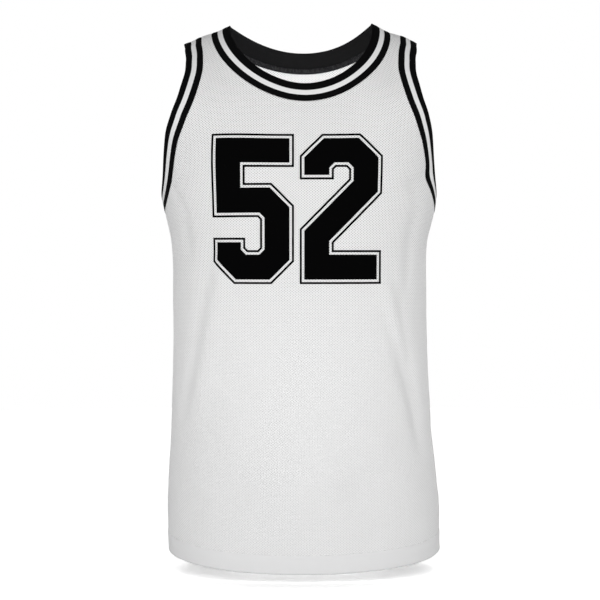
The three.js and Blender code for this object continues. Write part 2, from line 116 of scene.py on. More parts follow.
# x, z, half-width, half-height, height
FRONT_BULGES = np.array([
    (-98, -182, 52, 44, 5),
    (98, -182, 52, 44, 5),
    (2, -598, 100, 82, 7.5),
    (-104, -122, 36, 42, 2),
    (102, -122, 36, 42, 4.5),
])
BACK_FOLDS = np.array([
    (0, -170, 0, -520, 0, 44, -5),
    (-160, -300, -46, -430, -14, 16, -4.5),
    (156, -320, 40, -465, 14, 16, -4.5),
    (160, -280, 150, -560, 8, 16, -4),
    (-92, -500, -104, -790, 6, 26, 5),
    (-28, -470, -36, -790, -5, 24, -4),
    (58, -520, 66, -790, 5, 28, 4.5),
])
BACK_BULGES = np.array([
    (-78, -150, 58, 62, 5),
    (78, -150, 58, 62, 5),
])
# x and z of the middle of each swelling over a shoulder, sizes across and down, height
SHOULDER_SWELLINGS = np.array([
    (136, -30, 20, 36, 5.5),
    (-131, -30, 15, 36, 3),
    (-106, -8, 12, 26, -2.4),
    (-98, 0, 5, 26, -1.6),
    (94, 0, 12, 26, 2),
    (99, 0, 5, 26, -1.2),
])
FOLD_ENDS = 0.3  # share of a fold's length over which it fades at each end
FADE_POWER = 3
DENTS, DENT_SIZES, DENT_DEPTH = 300, (14, 42), 0.9
DENSE = 60  # points for each row of an armhole's table
NECK_DENSE = 1201  # points for each half of the neck's line
TABLE_TURN = 1.15  # quarter turns that a table of the flat cloth takes in on each side
TABLE_COLUMNS, TABLE_ROWS = 461, 319

# Cells of the cloth's grid
NECK_CELLS = 200
ARMHOLE_CELLS = 150
STRAP_CELLS = 36
PIT_CELLS = 24
SHOULDER_CELLS = 20
SIDE_CELLS = 108
HEM_LEVELS = np.array([0, 3, 8, 14, 19, 22.4, 23.8, 25, 26.2, 27.6])
BAND_WIDTH = 24
BAND_STEP = 1.5


def mix(a, b, share):
    """Between a and b at a share of the way: a + (b - a) * share."""
    return a + (b - a) * share


def smooth_at(rows, place):
    """A table's other columns at a place along its first one, by cubics through the rows:
    each leaves and arrives with the slope between the two neighbours of its row."""
    place = np.asarray(place, float)
    last = len(rows) - 1
    before = np.maximum(np.arange(last + 1) - 1, 0)
    after = np.minimum(np.arange(last + 1) + 1, last)
    run = rows[after, 0] - rows[before, 0]
    slope = (rows[after, 1:] - rows[before, 1:]) / run[:, None]
    k = np.clip(np.searchsorted(rows[:, 0], place, side="right") - 1, 0, last - 1)
    run = rows[k + 1, 0] - rows[k, 0]
    share = ((place - rows[k, 0]) / run)[..., None]
    start, end = rows[k, 1:], rows[k + 1, 1:]
    leaving, arriving = slope[k] * run[..., None], slope[k + 1] * run[..., None]
    second = 3 * (end - start) - 2 * leaving - arriving
    third = 2 * (start - end) + leaving + arriving
    return start + share * (leaving + share * (second + share * third))


def ring(angle, section):
    """A point of a superellipse by its angle from the middle of the front: the radius is
    (|sin / half-width| ^ p + |cos / depth| ^ p) ^ (-1 / p)."""
    left, right, front, back, power = np.moveaxis(section, -1, 0)
    sine, cosine = np.sin(angle), np.cos(angle)
    half_width = np.where(sine < 0, left, right)
    depth = np.where(cosine > 0, front, back)
    reach = (np.abs(sine) / half_width) ** power + (np.abs(cosine) / depth) ** power
    radius = reach ** (-1 / power)
    return radius * sine, -radius * cosine


def ridge_z(x):
    """Height of the shoulder ridge: level at its outer end, falling beyond it by a power
    of the distance, and a parabola over the neck opening."""
    out = np.abs(x)
    run = TIP_X - NECK_X
    slope = -TIP_Z * RIDGE_POWER / run
    beyond = TIP_Z - OUTER_FALL * (np.maximum(out - TIP_X, 0) / OUTER_RUN) ** RIDGE_POWER
    strap = TIP_Z * (1 - (np.clip(TIP_X - out, 0, run) / run) ** RIDGE_POWER)
    dome = slope * NECK_X * (1 - (out / NECK_X) ** 2) / 2
    return np.where(out > TIP_X, beyond, np.where(out > NECK_X, strap, dome))


def form(angle, h):
    """The worn form without folds. Up to the chest h is z, and from there the length of
    cloth towards the ridge, over which the depth closes as the root of
    1 - rise ^ 2 * (1 + slope * (1 - rise))."""
    angle, h = np.broadcast_arrays(np.asarray(angle, float), np.asarray(h, float))
    x, y = ring(angle, smooth_at(SECTIONS, h))
    rise = np.sin(QUARTER * np.clip((h - CHEST_Z) / ARCH, 0, 1))
    facing = mix(FRONT_SLOPE, BACK_SLOPE, (1 - np.cos(angle)) / 2)
    slope = mix(facing, TIP_SLOPE, np.clip((x / TIP_X) ** 2, 0, 1))
    opened = np.sqrt(np.maximum(0, 1 - rise**2 * (1 + slope - slope * rise)))
    z = np.where(h <= CHEST_Z, h, mix(CHEST_Z, ridge_z(x), rise))
    return np.stack([x, mix(RIDGE_Y, y, opened), z], -1)


def angle_of(x, middle, h=CHEST_Z):
    """Angle of a section's point at x, on the face whose middle is at that angle."""
    left, right, front, back, power = np.moveaxis(smooth_at(SECTIONS, h), -1, 0)
    depth = front if middle == 0 else back
    share = np.clip(np.abs(x) / np.where(np.asarray(x) < 0, left, right), 0, 1)
    turn = np.arctan2(x, depth * (1 - share**power) ** (1 / power))
    return turn if middle == 0 else math.pi - turn


def height_of(x, z):
    """The height h of the form's point at x and z."""
    rise = np.clip((z - CHEST_Z) / (ridge_z(x) - CHEST_Z), 0, 1)
    return np.where(z <= CHEST_Z, z, CHEST_Z + ARCH * np.arcsin(rise) / QUARTER)


def near(middle, angle):
    """The same angle, told within half a turn of a face's middle."""
    turn = angle - middle
    return middle + np.arctan2(np.sin(turn), np.cos(turn))


def soften(share):
    """An S-curve from 0 to 1: share ^ 2 * (3 - 2 * share)."""
    share = np.clip(share, 0, 1)
    return share**2 * (3 - 2 * share)


def fold_heights(folds, bulges, middle, angle, z):
    """Sum of the folds and bulges. A fold is a bell curve across its bowed line that fades
    in and out along it, and a bulge is a bell curve both ways."""
    round_ = (GIRTH_RADIUS * near(middle, angle))[..., None]
    z = z[..., None]
    x0, z0, x1, z1, bow, width, height = folds.T
    start, end = GIRTH_RADIUS * angle_of(x0, middle), GIRTH_RADIUS * angle_of(x1, middle)
    run = np.hypot(end - start, z1 - z0)
    along_round, along_z = (end - start) / run, (z1 - z0) / run
    share = ((round_ - start) * along_round + (z - z0) * along_z) / run
    inside = np.clip(share, 0, 1)
    side = (round_ - start) * along_z - (z - z0) * along_round
    off = side - bow * 4 * inside * (1 - inside)
    ends = soften(inside / FOLD_ENDS) * soften((1 - inside) / FOLD_ENDS)
    total = (height * ends * np.exp(-((off / width) ** 2))).sum(-1)
    x, z1, wide, tall, height = bulges.T
    across = (round_ - GIRTH_RADIUS * angle_of(x, middle)) / wide
    return total + (height * np.exp(-(across**2) - ((z - z1) / tall) ** 2)).sum(-1)


def directions(surface, angle, h):
    """A surface's directions round the body, up the cloth and outwards, from differences
    over small steps."""
    high = np.minimum(h + PROBE, RIDGE_H)
    low = h - PROBE
    turned = surface(angle + PROBE_TURN, h) - surface(angle - PROBE_TURN, h)
    round_ = turned / (2 * PROBE_TURN)
    up = (surface(angle, high) - surface(angle, low)) / (high - low)[..., None]
    out = np.cross(round_, up)
    return round_, up, out / np.linalg.norm(out, axis=-1, keepdims=True)


def cloth(angle, h):
    """The cloth's outer face with its main folds, which fade out at the ridge."""
    angle, h = np.broadcast_arrays(np.asarray(angle, float), np.asarray(h, float))
    point = form(angle, h)
    height = fold_heights(FRONT_FOLDS, FRONT_BULGES, 0, angle, point[..., 2])
    height += fold_heights(BACK_FOLDS, BACK_BULGES, math.pi, angle, point[..., 2])
    height *= 1 - np.clip((h - CHEST_Z) / ARCH, 0, 1) ** FADE_POWER
    return point + directions(form, angle, h)[2] * height[..., None]


def unevenness(angle, h):
    """Soft dents and swellings of a millimetre or so, spread over the cloth by a seeded
    draw: a sum of bell curves that fades out towards the shoulder ridge, and one bell
    curve in x and z over each shoulder."""
    draw = np.random.default_rng(3)
    turns, heights = draw.uniform(-math.pi, math.pi, DENTS), draw.uniform(-740, 0, DENTS)
    sizes = draw.uniform(*DENT_SIZES, DENTS)
    dents = draw.uniform(-DENT_DEPTH, DENT_DEPTH, DENTS)
    total = np.zeros(angle.shape)
    for turn, height, size, dent in zip(turns, heights, sizes, dents):
        off = GIRTH_RADIUS * near(0, angle - turn)
        total += dent * np.exp(-(off**2 + (h - height) ** 2) / size**2)
    total *= 1 - np.clip((h - CHEST_Z) / ARCH, 0, 1) ** FADE_POWER
    x, _, z = np.moveaxis(cloth(angle, h), -1, 0)
    for middle, height, wide, tall, rise in SHOULDER_SWELLINGS:
        total += rise * np.exp(-(((x - middle) / wide) ** 2) - ((z - height) / tall) ** 2)
    return total


def lifted(places, distance):
    """Points of the uneven cloth at rows of (angle, h), moved outwards by a distance."""
    angle, h = places[..., 0], places[..., 1]
    out = directions(cloth, angle, h)[2]
    height = np.broadcast_to(distance, angle.shape) + unevenness(angle, h)
    return cloth(angle, h) + out * height[..., None]


def lengths_along(row):
    """Length over the cloth from the start of a row of places to each of them."""
    points = cloth(row[:, 0], row[:, 1])
    steps = np.linalg.norm(np.diff(points, axis=0), axis=1)
    return np.insert(np.cumsum(steps), 0, 0)


def spaced(dense, shares):
    """Places at shares of the length along a dense row of places, measured on the cloth."""
    lengths = lengths_along(dense)
    wanted = lengths[-1] * np.asarray(shares)
    return np.stack([np.interp(wanted, lengths, dense[:, k]) for k in (0, 1)], -1)


def evenly(cells):
    """Equal steps from 0 to 1, with one more place than cells."""
    return np.linspace(0, 1, cells + 1)


def eased(cells, first):
    """Shares whose cells grow from a part of the mean cell to as much above the mean."""
    even = evenly(cells)
    return even - (1 - first) * np.sin(math.pi * even) / math.pi


def arm_opening(side, cells):
    """The closed row of places round an arm opening, from the ridge down the front and up
    the back: one smooth curve through the edge's rows, whose lower part is eased to the
    mean of its neighbours, weighted by a bell curve."""

    def edge(rows, middle):
        """The edge's places on one face, from the shoulder's outer end down."""
        x = side * np.append(TIP_X, rows[:, 1 if side < 0 else 2])
        h = np.append(RIDGE_H, height_of(x[1:], rows[:, 0]))
        return np.stack([near(0, angle_of(x, middle, h)), h], -1)

    front, back = edge(ARMHOLE_FRONT, 0), edge(ARMHOLE_BACK, math.pi)
    bottom = [(side * QUARTER, ARMHOLE_BOTTOM_Z)]
    rows = np.concatenate([front, bottom, back[::-1]])
    table = np.column_stack([np.arange(len(rows)), rows])
    dense = smooth_at(table, np.linspace(0, len(rows) - 1, DENSE * (len(rows) - 1) + 1))
    lowest = DENSE * len(front)
    halves = [spaced(half, evenly(cells))[:-1] for half in (dense[: lowest + 1], dense[lowest:])]
    row = np.concatenate(halves)
    steps = np.arange(-2 * ARM_EASE, 2 * ARM_EASE + 1)
    weights = np.exp(-((steps / ARM_EASE) ** 2))
    weights /= weights.sum()
    mean = sum(weight * np.roll(row, -step, 0) for weight, step in zip(weights, steps))
    number = np.arange(len(row))
    share = soften((np.minimum(number, len(row) - number) / cells - 0.5) / 0.2)
    row = mix(row, mean, share[:, None])
    row[cells, 0] = side * QUARTER
    return row


def neck_opening(cells):
    """The closed row of places round the neck, from -X over the front to +X and back
    behind the nape: each half is a superellipse below the ridge."""
    halves = []
    for middle, shape in ((0, NECK_FRONT), (math.pi, NECK_BACK)):
        turn = np.linspace(0, math.pi, NECK_DENSE)
        low = np.sin(turn).clip(0) ** (2 / shape["down"])
        cosine = np.cos(turn)
        wide = -np.sign(cosine) * np.abs(cosine) ** (2 / shape["across"])
        x = NECK_X * wide + shape["shift"] * low
        h = height_of(x, -shape["drop"] * low)
        half = spaced(np.stack([angle_of(x, middle, h), h], -1), evenly(cells))
        halves.append(half if middle == 0 else half[::-1])
    return np.concatenate([half[:-1] for half in halves])


def stepped(row, distance, turn):
    """A closed row of places moved over the cloth by a distance, square to its own run."""
    angle, h = row.T
    points = cloth(angle, h)
    round_, up, out = directions(cloth, angle, h)
    along = np.roll(points, -1, 0) - np.roll(points, 1, 0)
    away = np.cross(along, out)
    away *= distance * turn / np.linalg.norm(away, axis=1, keepdims=True)

    def dot(a, b):
        """Dot products of matching rows."""
        return (a * b).sum(-1)

    rr, ru, uu = dot(round_, round_), dot(round_, up), dot(up, up)
    ra, ua = dot(round_, away), dot(up, away)
    area = rr * uu - ru * ru
    new_h = np.minimum(h + (ua * rr - ra * ru) / area, RIDGE_H)
    new_h = np.where(h == RIDGE_H, RIDGE_H, new_h)
    return np.stack([angle + (ra * uu - ua * ru) / area, new_h], -1)


def band_rows(opening, turn):
    """Rows of places from an opening's edge out to the band's seam, a step apart."""
    rows = [opening]
    for _ in range(round(BAND_WIDTH / BAND_STEP)):
        rows.append(stepped(rows[-1], BAND_STEP, turn))
    return np.stack(rows)


def edge_on(middle, row, start, cells, shares):
    """Part of a closed row as the edge of one face's panel, from the shoulder or to it."""
    part = row[(start + np.arange(cells + 1)) % len(row)]
    on_ridge = part[:, 1] >= RIDGE_H
    ridge_x = form(part[:, 0], RIDGE_H)[:, 0]
    ridge_angle = angle_of(ridge_x, middle, RIDGE_H)
    angle = np.where(on_ridge, ridge_angle, near(middle, part[:, 0]))
    return spaced(np.stack([angle, part[:, 1]], -1), shares)


def across(middle, start, end, shares):
    """A row of places across a face, at shares of the width of an ellipse."""
    wide, deep = CHEST[0], CHEST[2]
    steps = [math.atan2(deep * math.sin(place[0] - middle), wide * math.cos(place[0] - middle))
             for place in (start, end)]
    turn = mix(*steps, shares)
    angle = middle + np.arctan2(wide * np.sin(turn), deep * np.cos(turn))
    return np.stack([angle, mix(start[1], end[1], shares)], -1)


def between(start, end, shares):
    """Places on a straight line from start to end, at shares of it."""
    return mix(start, end, np.asarray(shares)[:, None])


def patch(left, right, bottom, top):
    """Rows of places between four edges that share corners: the mean of the two ruled
    patches less the flat one, at the edges' own spacing."""

    def share_of(one, other):
        """The mean of two edges' shares of length at their points."""
        shares = []
        for edge in (one, other):
            steps = np.hypot(GIRTH_RADIUS * np.diff(edge[:, 0]), np.diff(edge[:, 1]))
            shares.append(np.concatenate([[0], np.cumsum(steps)]) / steps.sum())
        return (shares[0] + shares[1]) / 2

    s = share_of(bottom, top)[None, :, None]
    t = share_of(left, right)[:, None, None]
    sides = mix(left[:, None], right[:, None], s)
    ends = mix(bottom[None], top[None], t)
    corners = mix(mix(bottom[0], bottom[-1], s), mix(top[0], top[-1], s), t)
    return sides + ends - corners


def panel_places(middle, arms, neck):
    """The patches of places of a panel: hem, body, chest and a strap on either side."""
    neck_start, arm_start = (0, 0) if middle == 0 else (NECK_CELLS, ARMHOLE_CELLS)
    neck_edge = edge_on(middle, neck, neck_start, NECK_CELLS, evenly(NECK_CELLS))
    pit_share = PIT_CELLS / ARMHOLE_CELLS
    shares = np.concatenate([
        eased(PIT_CELLS, 0.3) * pit_share,
        mix(pit_share, 1, evenly(ARMHOLE_CELLS - PIT_CELLS)[1:]),
    ])
    if middle == 0:
        shares = 1 - shares
    else:
        arms = arms[::-1]
    edges = [edge_on(middle, row, arm_start, ARMHOLE_CELLS, shares) for row in arms]
    for edge, sign in zip(edges, (-1, 1)):
        edge[0, 0] = middle + sign * QUARTER
    chest_cells = NECK_CELLS - 2 * STRAP_CELLS + 2 * SHOULDER_CELLS
    pit_width = 0.062  # share of the hem under the bottom of an armhole
    hem_shares = np.concatenate([
        eased(PIT_CELLS, 0.3) * pit_width,
        mix(pit_width, 1 - pit_width, evenly(chest_cells)[1:-1]),
        1 - eased(PIT_CELLS, 0.3)[::-1] * pit_width,
    ])
    seams = [edges[0][0], edges[1][0]]
    line = across(middle, seams[0], seams[1], hem_shares)
    section = smooth_at(SECTIONS, HEM_SIDE_Z)
    y = np.abs(ring(line[:, 0], section)[1])
    depth = section[2] if middle == 0 else section[3]
    hem_z = HEM_SIDE_Z - HEM_DROP * y / depth
    hem = np.stack([np.stack([line[:, 0], hem_z + raise_], -1) for raise_ in HEM_LEVELS])

    base = ARMHOLE_CELLS - STRAP_CELLS
    top = hem[-1]
    down = eased(SIDE_CELLS, 0.75)
    left_seam = between(top[0], seams[0], down)
    right_seam = between(top[-1], seams[1], down)
    pit = [edge[: PIT_CELLS + 1] for edge in edges]
    chest = [edge[PIT_CELLS : base + 1] for edge in edges]
    strap = [edge[base:] for edge in edges]
    neck_left = neck_edge[: STRAP_CELLS + 1][::-1]
    neck_right = neck_edge[-STRAP_CELLS - 1 :]
    neck_middle = neck_edge[STRAP_CELLS : len(neck_edge) - STRAP_CELLS]
    strap_shares = evenly(SHOULDER_CELLS)
    base_left, top_left = (between(strap[0][k], neck_left[k], strap_shares) for k in (0, -1))
    base_right, top_right = (between(neck_right[k], strap[1][k], strap_shares) for k in (0, -1))
    chest_row = across(middle, chest[0][0], chest[1][0], evenly(chest_cells))
    chest_row[0], chest_row[-1] = chest[0][0], chest[1][0]
    body_top = np.concatenate([pit[0][:-1], chest_row, pit[1][::-1][1:]])
    chest_top = np.concatenate([base_left[:-1], neck_middle, base_right[1:]])
    return [
        hem,
        patch(left_seam, right_seam, top, body_top),
        patch(chest[0], chest[1], chest_row, chest_top),
        patch(strap[0], neck_left, base_left, top_left),
        patch(neck_right, strap[1], base_right, top_right),
    ]


def grid_faces(grid):
    """Four-cornered faces between the neighbours of a grid of point numbers."""
    corners = [grid[:-1, :-1], grid[:-1, 1:], grid[1:, 1:], grid[1:, :-1]]
    return np.stack(corners, -1).reshape(-1, 4)


def welded(patches):
    """One list of places and the cells between them. Places join that agree to a millionth
    of a radian and a thousandth of a millimetre."""
    flat = np.concatenate([rows.reshape(-1, 2) for rows in patches])
    keys = np.round(flat * (1e6, 1e3)).astype(np.int64)
    _, first, number = np.unique(keys, axis=0, return_index=True, return_inverse=True)
    number = number.reshape(-1)
    cells, start = [], 0
    for rows in patches:
        grid = number[start : start + rows.shape[0] * rows.shape[1]].reshape(rows.shape[:2])
        start += grid.size
        cells.append(grid_faces(grid))
    return flat[first], np.concatenate(cells)


def rim_of(cells):
    """The directed edges of cells that no other cell shares."""
    edges = np.concatenate([cells[:, [k, (k + 1) % 4]] for k in range(4)])
    most = cells.max() + 1
    code, back = edges[:, 0] * most + edges[:, 1], edges[:, 1] * most + edges[:, 0]
    return edges[~np.isin(code, back)]


def seam_relief(places):
    """The side seam: a narrow ditch with shallow puckers that fade out beside it."""
    off = GIRTH_RADIUS * np.abs(QUARTER - np.abs(near(0, places[:, 0])))
    below = soften((CHEST_Z - places[:, 1]) / 20)
    pucker = np.sin(places[:, 1] / 4.1) + 0.6 * np.sin(places[:, 1] / 7.3 + 1.7)
    ditch = SEAM_DITCH * np.exp(-((off / SEAM_DITCH_WIDTH) ** 2))
    return below * (PUCKER * pucker * np.exp(-off / PUCKER_REACH) - ditch)


def length_table(middle):
    """The flat cloth's two coordinates for a table of angles and heights: the length
    round the body from a face's middle, and the length up the cloth from the chest."""
    angles = middle + np.linspace(-TABLE_TURN, TABLE_TURN, TABLE_COLUMNS) * QUARTER
    heights = np.linspace(-750, RIDGE_H, TABLE_ROWS)
    points = form(angles[None], heights[:, None])
    tables = []
    for axis, zero in ((1, TABLE_COLUMNS // 2), (0, np.abs(heights - CHEST_Z).argmin())):
        steps = np.linalg.norm(np.diff(points, axis=axis), axis=-1)
        lengths = np.insert(np.cumsum(steps, axis), 0, 0, axis)
        tables.append(lengths - lengths.take([zero], axis))
    return angles, heights, np.stack([tables[0], tables[1] + CHEST_Z], -1)


def read_table(table, angle, h):
    """A table's two values between its four nearest entries."""
    angles, heights, values = table
    i = (angle - angles[0]) / (angles[1] - angles[0])
    j = (h - heights[0]) / (heights[1] - heights[0])
    i0 = np.clip(i.astype(int), 0, len(angles) - 2)
    j0 = np.clip(j.astype(int), 0, len(heights) - 2)
    i, j = (i - i0)[..., None], (j - j0)[..., None]
    low = mix(values[j0, i0], values[j0, i0 + 1], i)
    high = mix(values[j0 + 1, i0], values[j0 + 1, i0 + 1], i)
    return mix(low, high, j)


def mesh_piece(name, points, faces, uv=None, values=None):
    """A smooth-shaded object of points in millimetres and faces by point numbers, with a
    UV in metres of cloth and values for each point."""
    mesh = bpy.data.meshes.new(name)
    mesh.from_pydata((points * MM).tolist(), [], faces.tolist())
    mesh.polygons.foreach_set("use_smooth", np.ones(len(mesh.polygons), bool))
    if uv is not None:
        corner = np.empty(len(mesh.loops), np.int32)
        mesh.loops.foreach_get("vertex_index", corner)
        layer = mesh.uv_layers.new(name="cloth")
        layer.data.foreach_set("uv", (uv[corner] * MM).astype(np.float32).ravel())
    for key, value in (values or {}).items():
        layer = mesh.attributes.new(key, "FLOAT", "POINT")
        layer.data.foreach_set("value", value.astype(np.float32))
    mesh.update()
    piece = bpy.data.objects.new(name, mesh)
    bpy.context.scene.collection.objects.link(piece)
    return piece


def panel(name, middle, patches, table):
    """A wall of cloth over the patches, closed by a rounded rim."""
    places, cells = welded(patches)
    hem_angle, hem_z = patches[0][0].T
    over_hem = places[:, 1] - np.interp(near(middle, places[:, 0]), hem_angle, hem_z)
    in_hem = 1 - soften((over_hem - HEM_HEIGHT + 1.2) / 2.4)
    ditch = -HEM_DITCH * np.exp(-(((over_hem - HEM_HEIGHT) / HEM_DITCH_WIDTH) ** 2))
    fine = seam_relief(places) + ditch
    outer = lifted(places, fine + in_hem * HEM_CLOTH / 2)
    inner = lifted(places, fine - PANEL_CLOTH - in_hem * HEM_CLOTH / 2)
    rim = rim_of(cells)
    middle_points = (outer + inner) / 2
    middle_points[:, 2] -= HEM_FOLD * (over_hem < 0.5)
    count = len(places)
    start, end = rim.T
    faces = np.concatenate([
        cells,
        cells[:, ::-1] + count,
        np.column_stack([end, start, start + 2 * count, end + 2 * count]),
        np.column_stack([end + 2 * count, start + 2 * count, start + count, end + count]),
    ])
    points = np.concatenate([outer, inner, middle_points])
    used, faces = np.unique(faces, return_inverse=True)
    faces = faces.reshape(-1, 4)
    uv = np.tile(read_table(table, places[:, 0], places[:, 1]), (3, 1))[used]
    holes = np.tile(1 - in_hem, 3)[used]
    return mesh_piece(name, points[used], faces, uv, {"holes": holes})


def new_node(tree, kind, inputs):
    """A shader node whose inputs, by number or name, are plain values or other outputs."""
    node = tree.nodes.new("ShaderNode" + kind)
    for key, value in inputs.items():
        if isinstance(value, bpy.types.NodeSocket):
            tree.links.new(value, node.inputs[key])
        else:
            node.inputs[key].default_value = value
    return node


def maths(tree, operation, *values):
    """A Math node's result for numbers or other nodes' outputs."""
    node = new_node(tree, "Math", dict(enumerate(values)))
    node.operation = operation
    return node.outputs[0]


def ranged(tree, value, low, high, start=0.0, end=1.0):
    """A value eased from one range to another."""
    node = new_node(tree, "MapRange", dict(enumerate((value, low, high, start, end))))
    node.interpolation_type = "SMOOTHSTEP"
    return node.outputs[0]


def blended(tree, share, first, second):
    """A colour between two, each a tuple or another node's output."""
    node = new_node(tree, "Mix", {0: share, 6: first, 7: second})
    node.data_type = "RGBA"
    return node.outputs[2]


def noise(tree, vector, scale, detail=2.0):
    """A noise texture's value at a vector, its scale in waves for each metre."""
    node = new_node(tree, "TexNoise", {"Vector": vector, "Scale": scale, "Detail": detail})
    return node.outputs["Fac"]


def bumped(tree, shader, height, distance, strength=1.0):
    """Turns the shader's normal by a height that is worth a distance in metres."""
    inputs = {"Height": height, "Distance": distance, "Strength": strength}
    tree.links.new(new_node(tree, "Bump", inputs).outputs[0], shader.inputs["Normal"])


def value_of(tree, name):
    """The value of that name at each point of the mesh."""
    node = new_node(tree, "Attribute", {})
    node.attribute_name = name
    return node.outputs["Fac"]


def cloth_map(tree):
    """The cloth's UV in metres: its vector, and its two parts."""
    node = new_node(tree, "UVMap", {})
    node.uv_map = "cloth"
    parts = new_node(tree, "SeparateXYZ", {0: node.outputs[0]})
    return node.outputs[0], parts.outputs[0], parts.outputs[1]


def new_material(name, roughness, sheen=0.0, shine=0.25):
    """A node material with a roughness, a sheen and a shine: material, tree and shader."""
    material = bpy.data.materials.new(name)
    material.use_nodes = True
    shader = material.node_tree.nodes["Principled BSDF"]
    shader.inputs["Roughness"].default_value = roughness
    shader.inputs["Sheen Weight"].default_value = sheen
    shader.inputs["Sheen Roughness"].default_value = 0.4
    shader.inputs["Specular IOR Level"].default_value = shine
    return material, material.node_tree, shader


HOLE_ACROSS = 4.0 * MM  # from hole to hole along a row
HOLE_ROW = 1.66 * MM  # from row to row, each shifted by half a step
HOLE_RADIUS = 0.56 * MM
MESH_WHITE = (0.83, 0.83, 0.83, 1)
MESH_DULL = (0.74, 0.74, 0.745, 1)
# Painted shade: the holes take MESH_SHADE for the shaded inside seen through them, and the hem's
# white is darkened to the mean of that shade.
MESH_SHADE = (0.32, 0.32, 0.325, 1)
HEM_WHITE = (0.775, 0.775, 0.777, 1)
HOLES_LOW, HOLES_HIGH = 0.42, 1.6  # how dark the painted shade in the holes shows below and on the chest
HOLES_FROM, HOLES_TO = -0.52, -0.1  # heights between which that changes
CLOTH_PATCH, CLOTH_GRAIN = 9.0, 1900.0  # noise waves in a metre: dull patches, knit


def mesh_dots(tree, u, v):
    """One inside each hole of the mesh: the distance from the middle of a staggered
    lattice's cell, eased over the hole's edge."""
    row = maths(tree, "DIVIDE", v, HOLE_ROW)
    number = maths(tree, "FLOOR", row)
    shift = maths(tree, "MULTIPLY", number, 0.5)
    column = maths(tree, "ADD", maths(tree, "DIVIDE", u, HOLE_ACROSS), shift)
    squares = []
    for place, step in ((column, HOLE_ACROSS), (row, HOLE_ROW)):
        off = maths(tree, "SUBTRACT", maths(tree, "FRACT", place), 0.5)
        off = maths(tree, "MULTIPLY", off, step)
        squares.append(maths(tree, "MULTIPLY", off, off))
    distance = maths(tree, "SQRT", maths(tree, "ADD", *squares))
    return ranged(tree, distance, HOLE_RADIUS * 0.6, HOLE_RADIUS * 1.3, 1.0, 0.0)


def mesh_cloth():
    """White knit with rows of small holes, painted dark as the shade of its inside seen through them
    and darker on the chest than below, which fade out where the hem's second layer lies behind them,
    and a fine knitted grain."""
    material, tree, shader = new_material("white_mesh_cloth", 0.72, 0.15)
    vector, u, v = cloth_map(tree)
    flag = value_of(tree, "holes")
    open_mesh = ranged(tree, flag, 0.0, 1.0, 0.1, 1.0)
    # painted shade in the holes, weaker below and stronger on the chest
    depth = ranged(tree, v, HOLES_FROM, HOLES_TO, HOLES_LOW, HOLES_HIGH)
    strength = maths(tree, "MULTIPLY", open_mesh, depth)
    dots = maths(tree, "MULTIPLY", mesh_dots(tree, u, v), strength)
    double = ranged(tree, flag, 0.0, 1.0, 1.0, 0.0)
    patchy = ranged(tree, noise(tree, vector, CLOTH_PATCH), 0.3, 0.7, 0.0, 0.035)
    grain = noise(tree, vector, CLOTH_GRAIN, 1.0)
    single = blended(tree, patchy, MESH_WHITE, MESH_DULL)
    white = blended(tree, double, single, HEM_WHITE)
    colour = blended(tree, dots, white, MESH_SHADE)
    tree.links.new(colour, shader.inputs["Base Color"])
    height = maths(tree, "SUBTRACT", maths(tree, "MULTIPLY", grain, 0.18), dots)
    bumped(tree, shader, height, 0.0004)
    return material


def panel_cut(places, table):
    """A panel's flat width, length and area in metres as it shows: the widest row, the
    height from the hem to the shoulder, and the sum of its cells laid flat."""
    low, high, area = [], [], 0
    for rows in places:
        flat = read_table(table, rows[..., 0], rows[..., 1]) * MM
        low.append(flat.min((0, 1)))
        high.append(flat.max((0, 1)))
        one, other = flat[1:, 1:] - flat[:-1, :-1], flat[1:, :-1] - flat[:-1, 1:]
        area += np.abs(one[..., 0] * other[..., 1] - one[..., 1] * other[..., 0]).sum() / 2
    width, length = np.max(high, 0) - np.min(low, 0)
    return (float(width), float(length)), float(area)


white_mesh_cloth = mesh_cloth()
neck_rows = band_rows(neck_opening(NECK_CELLS), 1)
arm_rows = [band_rows(arm_opening(side, ARMHOLE_CELLS), side) for side in (-1, 1)]
seam_rows = [rows[-1] for rows in arm_rows]
front_table = length_table(0)
front_places = panel_places(0, seam_rows, neck_rows[-1])
front = panel("front_panel", 0, front_places, front_table)
front.data.materials.append(white_mesh_cloth)
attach(front, "root")
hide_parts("front")
front_cut, front_area = panel_cut(front_places, front_table)


# Back panel
# The same cloth and hem as the front, cut with a shallow neck. It is sewn to the front at
# the shoulders and sides, and falls in a hollow between the shoulder blades.
back_table = length_table(math.pi)
back_places = panel_places(math.pi, seam_rows, neck_rows[-1])
back = panel("back_panel", math.pi, back_places, back_table)
back.data.materials.append(white_mesh_cloth)
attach(back, "root")
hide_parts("back")
back_cut, back_area = panel_cut(back_places, back_table)


# Neckband
# One strip of rib knit with a white stripe between two black ones, folded double and sewn
# on all round. The half behind is black all over, and its fold is the neck's edge.
BAND_CLOTH = 2.2
BAND_PROUD = 0.3
BAND_ROLL = 0.55  # how far the band's cloth turns in at its seam
EDGE_ROLL, EDGE_RUN = 0.8, 6  # how far its edge turns in, and over what width
NECK_OVER = 1.2  # how far the folded edge stands beyond the opening's line
STRIPE_PUFF = 0.22
RIB_PITCH = 1.25 * MM
STRIPE_LOW, STRIPE_HIGH = 0.36 * BAND_WIDTH * MM, 0.64 * BAND_WIDTH * MM
STRIPE_BLUR = 0.0002
RIB_FUZZ = 2200.0  # noise waves in a metre
RIB_BLACK = (0.003, 0.003, 0.0033, 1)
RIB_WHITE = (0.78, 0.78, 0.78, 1)
RIB_INSIDE = (0.0092, 0.0092, 0.0096, 1)


def numbered(points):
    """The number of each point in a grid of points."""
    return np.arange(points[..., 0].size).reshape(points.shape[:-1])


def wrapped(grid, *axes):
    """A grid of point numbers with its first row or column once more at its end."""
    for axis in axes:
        grid = np.concatenate([grid, grid.take([0], axis)], axis)
    return grid


